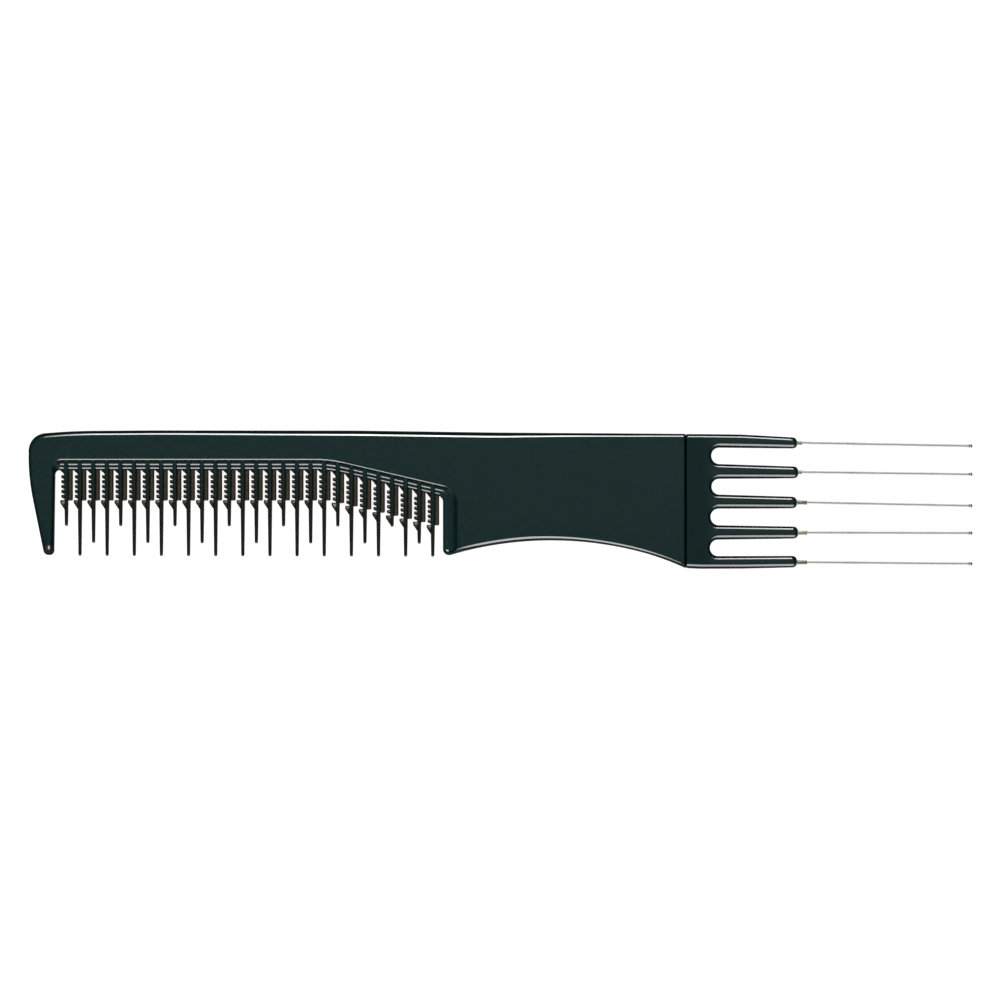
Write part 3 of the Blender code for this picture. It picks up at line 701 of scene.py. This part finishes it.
def plastic(name, colour, gloss, has_teeth=False):
    """Polished plastic with flow marks, hair-fine scratches, and satin steep walls with painted
    shade.
    """
    material, tree, shader = new_finish(name, {
        "IOR": 1.5, "Specular IOR Level": 0.01, "Coat Roughness": 0.07, "Coat IOR": 1.5})
    place = Signal.node(tree, "ShaderNodeTexCoord", output="Object")
    facing = Signal.node(tree, "ShaderNodeTexCoord", output="Normal")
    upright = abs(Signal.node(tree, "ShaderNodeSeparateXYZ", {}, {0: facing}, 2))
    flow = noise(tree, place, FLOW_SCALE, FLOW_STRETCH)
    scratches = noise(tree, place, SCRATCH_SCALE, SCRATCH_STRETCH, 5).rise(*SCRATCH_LINES)
    specks = noise(tree, place, SPECK_SCALE, detail=2)
    shade = 0.93 + flow * 0.14
    tone = blended(tree, 1, colour, Signal.node(
        tree, "ShaderNodeCombineColor", {}, {0: shade, 1: shade, 2: shade}), "MULTIPLY")
    # Painted shade: the colour turns darker as a face turns steep, as if less light fell on it
    tone = blended(tree, upright.rise(*UNSHADED_FACES), darker(colour, STEEP_WALL_PAINTED_SHADE), tone)
    polish = upright.rise(*POLISHED_FACES)
    coat = (STEEP_WALL_COAT + polish * (1 - STEEP_WALL_COAT)) * (1 - scratches * 0.10) * gloss
    roughness = STEEP_WALL_ROUGHNESS - polish * 0.10 + scratches * 0.12 + specks * 0.03
    if has_teeth:
        tone, coat, roughness = with_webs(tree, place, upright, tone, coat, roughness)
    relief = flow * 0.5 - scratches * 0.05 + specks * 0.04
    connect(tree, shader, {"Base Color": tone, "Coat Weight": coat, "Roughness": roughness,
                           "Normal": bump(tree, relief, 0.25, PLASTIC_BUMP_DEPTH)})
    return material


blade.data.materials.append(plastic("green_black_plastic", PLASTIC_COLOUR, 1, has_teeth=True))
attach(blade, "root")
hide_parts("comb_blade")

# Prong fork
# A second moulding in the same plastic: a short palm and five fingers that thin towards their
# tips. A tongue behind its end face is glued into the handle, so only a fine joint line shows.
FORK_LENGTH = 0.02350
FORK_TOP_DEPTH = 0.00078
FORK_CORNER_EASE = 0.0006
FORK_TIP_THINNING = 0.35
FORK_THINNING_BEND = 0.55
PALM_LENGTH = 0.00508
JOINT_GAP = 0.0001
SEEN_JOINT_GAP = 0.00002
FINGER_COUNT = 5
FINGER_TOP_DEPTH = 0.00075
OUTER_FINGER_ROOT_WIDTH = 0.00260
FINGER_ROOT_WIDTHS = (0.00301, 0.00309, 0.00293, 0.00299, 0.00259)
FINGER_ROOT_DROPS = (0, 0.0001, 0.00003, 0.00011, 0)
FINGER_TIP_WIDTHS = (0.00223, 0.00240, 0.00236, 0.00244, 0.00237)
FINGER_TIP_EASE = 0.00100
FINGER_UPPER_EDGE_ROUND = 0.0006
FINGER_LOWER_EDGE_ROUND = 0.00108
FINGER_TIP_EDGE_ROUND = 0.00075
FORK_JOINT_EDGE_ROUND = 0.00035
FINGER_TIP_SHIFTS = (-0.00008, 0.00015, -0.00014, 0.00011, -0.00013)
SLOT_END_SHIFTS = (0.00015, 0.00021, 0, -0.00013)
FINGER_LEANS = (0.0006, 0.000356, 0.000267, 0.00015, -0.000164)
PALM_EDGE_SHARES = ((0.13, 1.0), (0.50, 0.86))
SLOT_EASE_SHARE = 0.47
FORK_CUTS = 24

fork_station = BLADE_LENGTH + JOINT_SET_BACK + JOINT_GAP
finger_tip_station = fork_station + FORK_LENGTH


def finger_centre_depths(number):
    """Depths of a finger's middle at its root and at its tip."""
    first = FINGER_TOP_DEPTH + OUTER_FINGER_ROOT_WIDTH / 2
    last = COMB_HEIGHT - OUTER_FINGER_ROOT_WIDTH / 2
    root = lerp(first, last, number / (FINGER_COUNT - 1))
    return root + FINGER_ROOT_DROPS[number], root + FINGER_LEANS[number]


def fork_corners():
    """The fork's outline, down the joint, along the bottom and back over the fingers."""
    joint = BLADE_LENGTH + SEEN_JOINT_GAP
    corners = [
        Corner(Vector((joint, -FORK_TOP_DEPTH)), FORK_CORNER_EASE, GENTLE_STEPS, "joint"),
        Corner(Vector((joint, -JOINT_BOTTOM_DEPTH)), FORK_CORNER_EASE, GENTLE_STEPS, "lower"),
    ]
    bottom_tip_depth = finger_centre_depths(FINGER_COUNT - 1)[1] + FINGER_TIP_WIDTHS[-1] / 2
    top_tip_depth = finger_centre_depths(0)[1] - FINGER_TIP_WIDTHS[0] / 2

    def palm_edge(tip_depth, palm_depth, shares, edge):
        for length_share, depth_share in shares:
            place = Vector((fork_station + FORK_LENGTH * length_share,
                            -lerp(tip_depth, palm_depth, depth_share)))
            corners.append(Corner(place, FORK_CORNER_EASE, GENTLE_STEPS, edge))

    palm_edge(bottom_tip_depth, COMB_HEIGHT, PALM_EDGE_SHARES, "lower")
    for number in reversed(range(FINGER_COUNT)):
        root, tip = finger_centre_depths(number)
        tip_half = FINGER_TIP_WIDTHS[number] / 2
        for depth, edge in ((tip + tip_half, "tip"), (tip - tip_half, "upper")):
            place = Vector((finger_tip_station + FINGER_TIP_SHIFTS[number], -depth))
            corners.append(Corner(place, FINGER_TIP_EASE, CORNER_STEPS, edge))
        if number > 0:
            slot_top = finger_centre_depths(number - 1)[0] + FINGER_ROOT_WIDTHS[number - 1] / 2
            slot_bottom = root - FINGER_ROOT_WIDTHS[number] / 2
            ease = (slot_bottom - slot_top) * SLOT_EASE_SHARE
            slot_end = fork_station + PALM_LENGTH + SLOT_END_SHIFTS[number - 1]
            for depth, edge in ((slot_bottom, "tip"), (slot_top, "lower")):
                corners.append(Corner(Vector((slot_end, -depth)), ease, CORNER_STEPS, edge))
    palm_edge(top_tip_depth, FORK_TOP_DEPTH, reversed(PALM_EDGE_SHARES), "upper")
    return corners


def fork_body():
    """Palm and fingers, which thin together from the joint to the finger tips."""
    mesh = moulding(fork_corners(), {
        "upper": round_levels(FINGER_UPPER_EDGE_ROUND),
        "lower": round_levels(FINGER_LOWER_EDGE_ROUND),
        "tip": round_levels(FINGER_TIP_EDGE_ROUND),
        "joint": round_levels(FORK_JOINT_EDGE_ROUND),
    })
    for cut in range(1, FORK_CUTS):
        station = fork_station + FORK_LENGTH * cut / FORK_CUTS
        cut_across(mesh, (station, 0, 0), (1, 0, 0))
    for vertex in mesh.verts:
        share = min(1, max(0, (vertex.co.x - fork_station) / FORK_LENGTH))
        bend = (1 + FORK_THINNING_BEND) * share ** 2 - FORK_THINNING_BEND * share ** 3
        vertex.co.z *= 1 - FORK_TIP_THINNING * bend
    return mesh


fork = body("prong_fork_polished", fork_body())
smooth(fork)

FORK_COLOUR = (0.0014, 0.0126, 0.0118, 1)

fork.data.materials.append(plastic("fork_green_black_plastic", FORK_COLOUR, 0.8))
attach(fork, "root")
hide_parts("prong_fork")

# Ferrules
# Five short brass tubes, one in the tip of each finger, crimped onto the prongs with a fine
# ribbed tool. The upper two show by less than the rest, and the third and fifth have gone dull.
PRONG_TILTS = tuple(math.radians(tilt) for tilt in (-1.07, -0.75, -1.16, -0.15, -0.52))
PRONG_DROPS = (-0.00004, -0.00007, -0.00005, 0.00003, 0.00013)
PRONG_RADIUS = 0.00036
FERRULE_BORE = 0.00037
FERRULE_WALL = 0.00011
FERRULE_BEDDING = 0.0084
FERRULE_LIP = 0.00004
FERRULE_SHOWS = (0.00095, 0.00095, 0.00205, 0.00205, 0.00205)
CRIMP_DEPTH = 0.00004
CRIMP_PITCH = 0.00034
CRIMP_TAPER = 0.08
FLUTE_COUNT = 9
FLUTE_DEPTH = 0.022
FERRULE_SIDES = 72
FERRULE_RINGS = 40


def turned_rings(profile, sides, flute_depth=0):
    """Rings about the X axis from (station, radius) points, fluted past the finger's tip."""
    rings = []
    for station, radius in profile:
        fluting = flute_depth if station > 0 else 0
        ring = []
        for side in range(sides):
            angle = math.radians(360) * side / sides
            reach = radius * (1 + fluting * math.cos(angle * FLUTE_COUNT))
            ring.append(Vector((station, reach * math.cos(angle), reach * math.sin(angle))))
        rings.append(ring)
    return rings


def seated(item, number):
    """Places a turned piece in the tip of its finger, along the prong's own direction."""
    depth = finger_centre_depths(number)[1] + PRONG_DROPS[number]
    item.location = comb_place + Vector((finger_tip_station, -depth, 0))
    item.rotation_euler = (0, 0, PRONG_TILTS[number])
    return item


def ferrule_mesh(shows):
    """A tube with crimp grooves on the stretch that shows, and a small lip at its mouth."""
    outer_radius = FERRULE_BORE + FERRULE_WALL
    outer = [(-FERRULE_BEDDING, outer_radius), (0, outer_radius)]
    for ring in range(1, FERRULE_RINGS):
        station = shows * ring / FERRULE_RINGS
        groove = (1 - math.cos(math.radians(360) * station / CRIMP_PITCH)) / 2 * CRIMP_DEPTH
        pinch = outer_radius * CRIMP_TAPER * math.sin(math.radians(180) * station / shows)
        outer.append((station, outer_radius - groove - pinch))
    outer.append((shows, FERRULE_BORE + FERRULE_LIP))
    inner = [(shows, FERRULE_BORE), (-FERRULE_BEDDING, FERRULE_BORE)]
    rings = turned_rings(outer, FERRULE_SIDES, FLUTE_DEPTH) + turned_rings(inner, FERRULE_SIDES)
    return loft(rings, hollow=True)


CLEAN_BRASS_COLOUR = (0.80, 0.76, 0.62, 1)
CLEAN_TARNISH_COLOUR = (0.52, 0.48, 0.38, 1)
DULL_BRASS_COLOUR = (0.58, 0.55, 0.46, 1)
DULL_TARNISH_COLOUR = (0.30, 0.28, 0.23, 1)
TARNISH_SCALE = 1400
TARNISH_PATCHES = (0.35, 0.65)
BRASS_GRAIN_SCALE = 9000
BRASS_BUMP_DEPTH = 0.00001


def brass(name, colour, tarnish_colour):
    """Nickel-pale brass with duller patches and a fine grain."""
    material, tree, shader = new_finish(name, {"Metallic": 1})
    place = Signal.node(tree, "ShaderNodeTexCoord", output="Object")
    patches = noise(tree, place, TARNISH_SCALE).rise(*TARNISH_PATCHES)
    grain = noise(tree, place, BRASS_GRAIN_SCALE)
    connect(tree, shader, {
        "Base Color": blended(tree, patches, colour, tarnish_colour),
        "Roughness": 0.30 + patches * 0.14 + grain * 0.06,
        "Normal": bump(tree, grain, 0.4, BRASS_BUMP_DEPTH),
    })
    return material


clean_brass = brass("clean_brass", CLEAN_BRASS_COLOUR, CLEAN_TARNISH_COLOUR)
dull_brass = brass("dull_brass", DULL_BRASS_COLOUR, DULL_TARNISH_COLOUR)
ferrule_finishes = (clean_brass, clean_brass, dull_brass, clean_brass, dull_brass)
ferrules = []
for number, shows in enumerate(FERRULE_SHOWS):
    ferrule = seated(body(f"ferrule_{number + 1}_crimped", ferrule_mesh(shows)), number)
    smooth(ferrule)
    ferrule.data.materials.append(ferrule_finishes[number])
    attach(ferrule, "root")
    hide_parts(f"ferrule_{number + 1}")
    ferrules.append(ferrule)

# Prongs
# Five drawn steel wires, each cut to length, with a small ball formed on its end so that it
# doesn't scratch the scalp. The ferrules hold them, and they droop by about a degree at most.
PRONG_REACH = 0.03715
PRONG_BEDDING = 0.0076
BALL_RADIUS = 0.00048
BALL_NECK_LENGTH = 2 * BALL_RADIUS
BALL_SHOULDER_ANGLE = 4
BALL_LAST_ANGLE = 176
BALL_STEPS = 14
PRONG_SIDES = 48


def prong_mesh():
    """One wire with its ball, closed at both ends."""
    centre = PRONG_REACH - BALL_RADIUS
    profile = [(-PRONG_BEDDING, PRONG_RADIUS), (centre - BALL_NECK_LENGTH, PRONG_RADIUS)]
    first_angle = math.degrees(math.asin(PRONG_RADIUS / BALL_RADIUS)) + BALL_SHOULDER_ANGLE
    for step in range(BALL_STEPS + 1):
        angle = math.radians(lerp(first_angle, BALL_LAST_ANGLE, step / BALL_STEPS))
        profile.append((centre - BALL_RADIUS * math.cos(angle), BALL_RADIUS * math.sin(angle)))
    return loft(turned_rings(profile, PRONG_SIDES))


STEEL_COLOUR = (0.80, 0.785, 0.765, 1)
STAIN_SHADE = 0.8
STAIN_SCALE = 260
STAIN_STRETCH = (0.5, 1, 1)
STAIN_PATCHES = (0.45, 0.75)
DIE_LINE_SCALE = 2600
DIE_LINE_STRETCH = (0.02, 1, 1)
DIE_LINE_DEPTH = 0.000004


def drawn_steel():
    """Bright steel with fine lines from the die along the wire, and a little staining."""
    material, tree, shader = new_finish("drawn_steel", {"Metallic": 1})
    place = Signal.node(tree, "ShaderNodeTexCoord", output="Object")
    die_lines = noise(tree, place, DIE_LINE_SCALE, DIE_LINE_STRETCH)
    stain = noise(tree, place, STAIN_SCALE, STAIN_STRETCH).rise(*STAIN_PATCHES)
    connect(tree, shader, {
        "Base Color": blended(tree, stain * 0.5, STEEL_COLOUR, darker(STEEL_COLOUR, STAIN_SHADE)),
        "Roughness": 0.16 + die_lines * 0.12 + stain * 0.05,
        "Normal": bump(tree, die_lines, 0.3, DIE_LINE_DEPTH),
    })
    return material


steel = drawn_steel()
prongs = []
for number in range(FINGER_COUNT):
    prong = seated(body(f"prong_{number + 1}_drawn", prong_mesh()), number)
    smooth(prong)
    prong.data.materials.append(steel)
    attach(prong, "root")
    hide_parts(f"prong_{number + 1}")
    prongs.append(prong)

# Table
# A white sheet that the comb lies on. The camera sees it as plain white with the comb's faint
# shadow; from below it is clear, so that the underside can be looked at too.
TABLE_SIZE = 3.0
TABLE_DROP = 0.00005
TABLE_GLOW = 0.86
TABLE_COLOUR = (0.34, 0.34, 0.34, 1)


def white_sheet():
    """Matt white that glows only for the camera and is clear from below."""
    material, tree, shader = new_finish("white_sheet", {
        "Base Color": TABLE_COLOUR, "Roughness": 1, "Specular IOR Level": 0})
    seen = Signal.node(tree, "ShaderNodeLightPath", output="Is Camera Ray")
    glow = Signal.node(tree, "ShaderNodeEmission", {}, {"Color": (1, 1, 1, 1),
                                                        "Strength": seen * TABLE_GLOW})
    lit = Signal.node(tree, "ShaderNodeAddShader", {}, {0: glow, 1: Signal(shader.outputs[0])})
    below = Signal.node(tree, "ShaderNodeNewGeometry", output="Backfacing")
    clear = Signal.node(tree, "ShaderNodeBsdfTransparent")
    surface = Signal.node(tree, "ShaderNodeMixShader", {}, {0: below, 1: lit, 2: clear})
    tree.links.new(surface.socket, tree.nodes["Material Output"].inputs["Surface"])
    return material


sheet = bmesh.new()
bmesh.ops.create_grid(sheet, x_segments=1, y_segments=1, size=TABLE_SIZE / 2)
table = body("white_table", sheet)
table.location = (0, 0, -TABLE_DROP)
table.visible_glossy = False
table.data.materials.append(white_sheet())

# Studio
# A soft overhead light gives the colours. Strip boxes behind and in front draw the fine bright
# lines along the rounded edges, and fade out in steps past their ends. Cards that only some
# pieces mirror give the metal and the fingers their tones, and the sides are flagged off dark.
KEY_LEVEL = 0.75
KEY_SPREAD = math.radians(50)
FILL_LEVEL = 0.35
BEHIND = (8, 42)
IN_FRONT = (-30, -74)
FADING_IN_FRONT = (-32, -72)
OVERHEAD = (-5, 5)
CARD_ENDS = (-1.2, 1.2)
CARD_DISTANCE = 2.5

key_lamp = bpy.data.lights.new("overhead_light", "SUN")
key_lamp.energy = KEY_LEVEL * math.pi
key_lamp.angle = KEY_SPREAD
key = bpy.data.objects.new("overhead_light", key_lamp)
bpy.context.scene.collection.objects.link(key)
key.visible_glossy = False


def strip_box(name, angles, ends, distance, level, pieces):
    """A strip light or card that only some pieces mirror, between two angles off the vertical."""
    left, right = ends
    middle = math.radians(sum(angles)) / 2
    half_spread = math.radians(abs(angles[1] - angles[0])) / 2
    lamp = bpy.data.lights.new(name, "AREA")
    lamp.shape = "RECTANGLE"
    lamp.size = right - left
    lamp.size_y = 2 * distance * math.tan(half_spread)
    lamp.energy = level * math.pi * lamp.size * lamp.size_y
    box = bpy.data.objects.new(name, lamp)
    bpy.context.scene.collection.objects.link(box)
    box.location = ((left + right) / 2, distance * math.sin(middle), distance * math.cos(middle))
    box.rotation_euler = (-middle, 0, 0)
    box.visible_camera = False
    box.visible_diffuse = False
    box.light_linking.receiver_collection = bpy.data.collections.new(name)
    for piece in pieces:
        box.light_linking.receiver_collection.objects.link(piece)


# The strip boxes, with their angles, ends, distance and level. Those that overlap stand one
# behind another, so that their light adds up.
mouldings = (blade, fork)
for name, angles, ends, distance, level, pieces in (
        ("box_behind", BEHIND, (-0.30, 0.50), 2.50, 8, mouldings),
        ("box_behind_fading_1", BEHIND, (-0.35, 0.50), 2.51, 8, mouldings),
        ("box_behind_fading_2", BEHIND, (-0.42, 0.50), 2.52, 8, mouldings),
        ("box_in_front", IN_FRONT, (-0.62, 0.50), 2.50, 11, mouldings),
        ("fork_box_fading_1", FADING_IN_FRONT, (0.50, 0.90), 2.51, 3, (fork,)),
        ("fork_box_fading_2", FADING_IN_FRONT, (0.50, 1.30), 2.52, 3, (fork,)),
        ("fork_box_fading_3", FADING_IN_FRONT, (0.50, 1.70), 2.53, 3, (fork,)),
        ("fork_box_to_the_left", FADING_IN_FRONT, (-1.20, -0.62), 2.50, 8, (fork,)),
        ("spine_box_behind", BEHIND, (-0.12, 0.05), 2.53, 9, (blade,)),
        ("finger_card_overhead", OVERHEAD, (0.225, 0.55), 2.50, 0.28, (fork,))):
    strip_box(name, angles, ends, distance, level, pieces)

# The metal's cards, with their angles and level
for name, angles, level, pieces in (
        ("ferrule_card_behind", (28, 86), 1.5, ferrules),
        ("ferrule_card_in_front", (-28, -86), 0.35, ferrules),
        ("prong_card_overhead", (-62, 62), 0.30, prongs),
        ("prong_card_behind", (66, 89), 1.6, prongs),
        ("prong_card_in_front", (-66, -89), 0.9, prongs),
        ("metal_card_below", (100, 260), 0.8, ferrules + prongs)):
    strip_box(name, angles, CARD_ENDS, CARD_DISTANCE, level, pieces)

# What the gloss mirrors past the boxes: levels, and the sines of the angles between which each
# part of the room begins or ends
OVERHEAD_LEVEL = 0.13
FRONT_LEVEL = 0.9
FRONT_GROUND_LEVEL = 0.35
GROUND_LEVEL = 0.35
FLAG_LEVEL = 0.03
WHITE_LEVEL = 1.0
FRONT_SIDE = (0.2, 0.8)
OVERHEAD_RIM = (0.55, 0.85)
GROUND_RIM = (-0.60, -0.35)
FRONT_GROUND_RIM = (-0.15, 0.25)
HORIZON = (0, 0.4)

world = bpy.data.worlds.new("studio")
bpy.context.scene.world = world
world.use_nodes = True
world.cycles.sampling_method = "NONE"
tree = world.node_tree
towards = Signal.node(tree, "ShaderNodeTexCoord", output="Generated")
backwards, up = axes(tree, towards)[1:]
in_front = (0 - backwards).rise(*FRONT_SIDE)
overhead = up.rise(*OVERHEAD_RIM)
ground = 1 - up.rise(*GROUND_RIM)
front_ground = in_front * (1 - up.rise(*FRONT_GROUND_RIM))
front_wall = in_front * up.rise(*HORIZON) * (1 - overhead)
mirrored = (FLAG_LEVEL + overhead * (OVERHEAD_LEVEL - FLAG_LEVEL) + front_wall * FRONT_LEVEL
            + ground * GROUND_LEVEL + front_ground * FRONT_GROUND_LEVEL)
glossy = Signal.node(tree, "ShaderNodeLightPath", output="Is Glossy Ray")
camera_ray = Signal.node(tree, "ShaderNodeLightPath", output="Is Camera Ray")
strength = camera_ray * WHITE_LEVEL + (1 - camera_ray) * (
    glossy * mirrored + (1 - glossy) * FILL_LEVEL)
tree.links.new(strength.socket, tree.nodes["Background"].inputs["Strength"])
tree.nodes["Background"].inputs["Color"].default_value = (1, 1, 1, 1)

# Camera
# It looks straight down with a long lens, as the photograph was taken, and the comb fills the
# width of the frame.
CAMERA_LENS = 204
SENSOR_WIDTH = 36
CAMERA_HEIGHT = 1.2008
CAMERA_OFFSET = (-0.000148, -0.000085)

camera_data = bpy.data.cameras.new("camera")
camera_data.lens = CAMERA_LENS
camera_data.sensor_width = SENSOR_WIDTH
camera = bpy.data.objects.new("camera", camera_data)
bpy.context.scene.collection.objects.link(camera)
camera.location = (*CAMERA_OFFSET, half_thickness + CAMERA_HEIGHT)
bpy.context.scene.camera = camera
bpy.context.scene.view_settings.view_transform = "Standard"
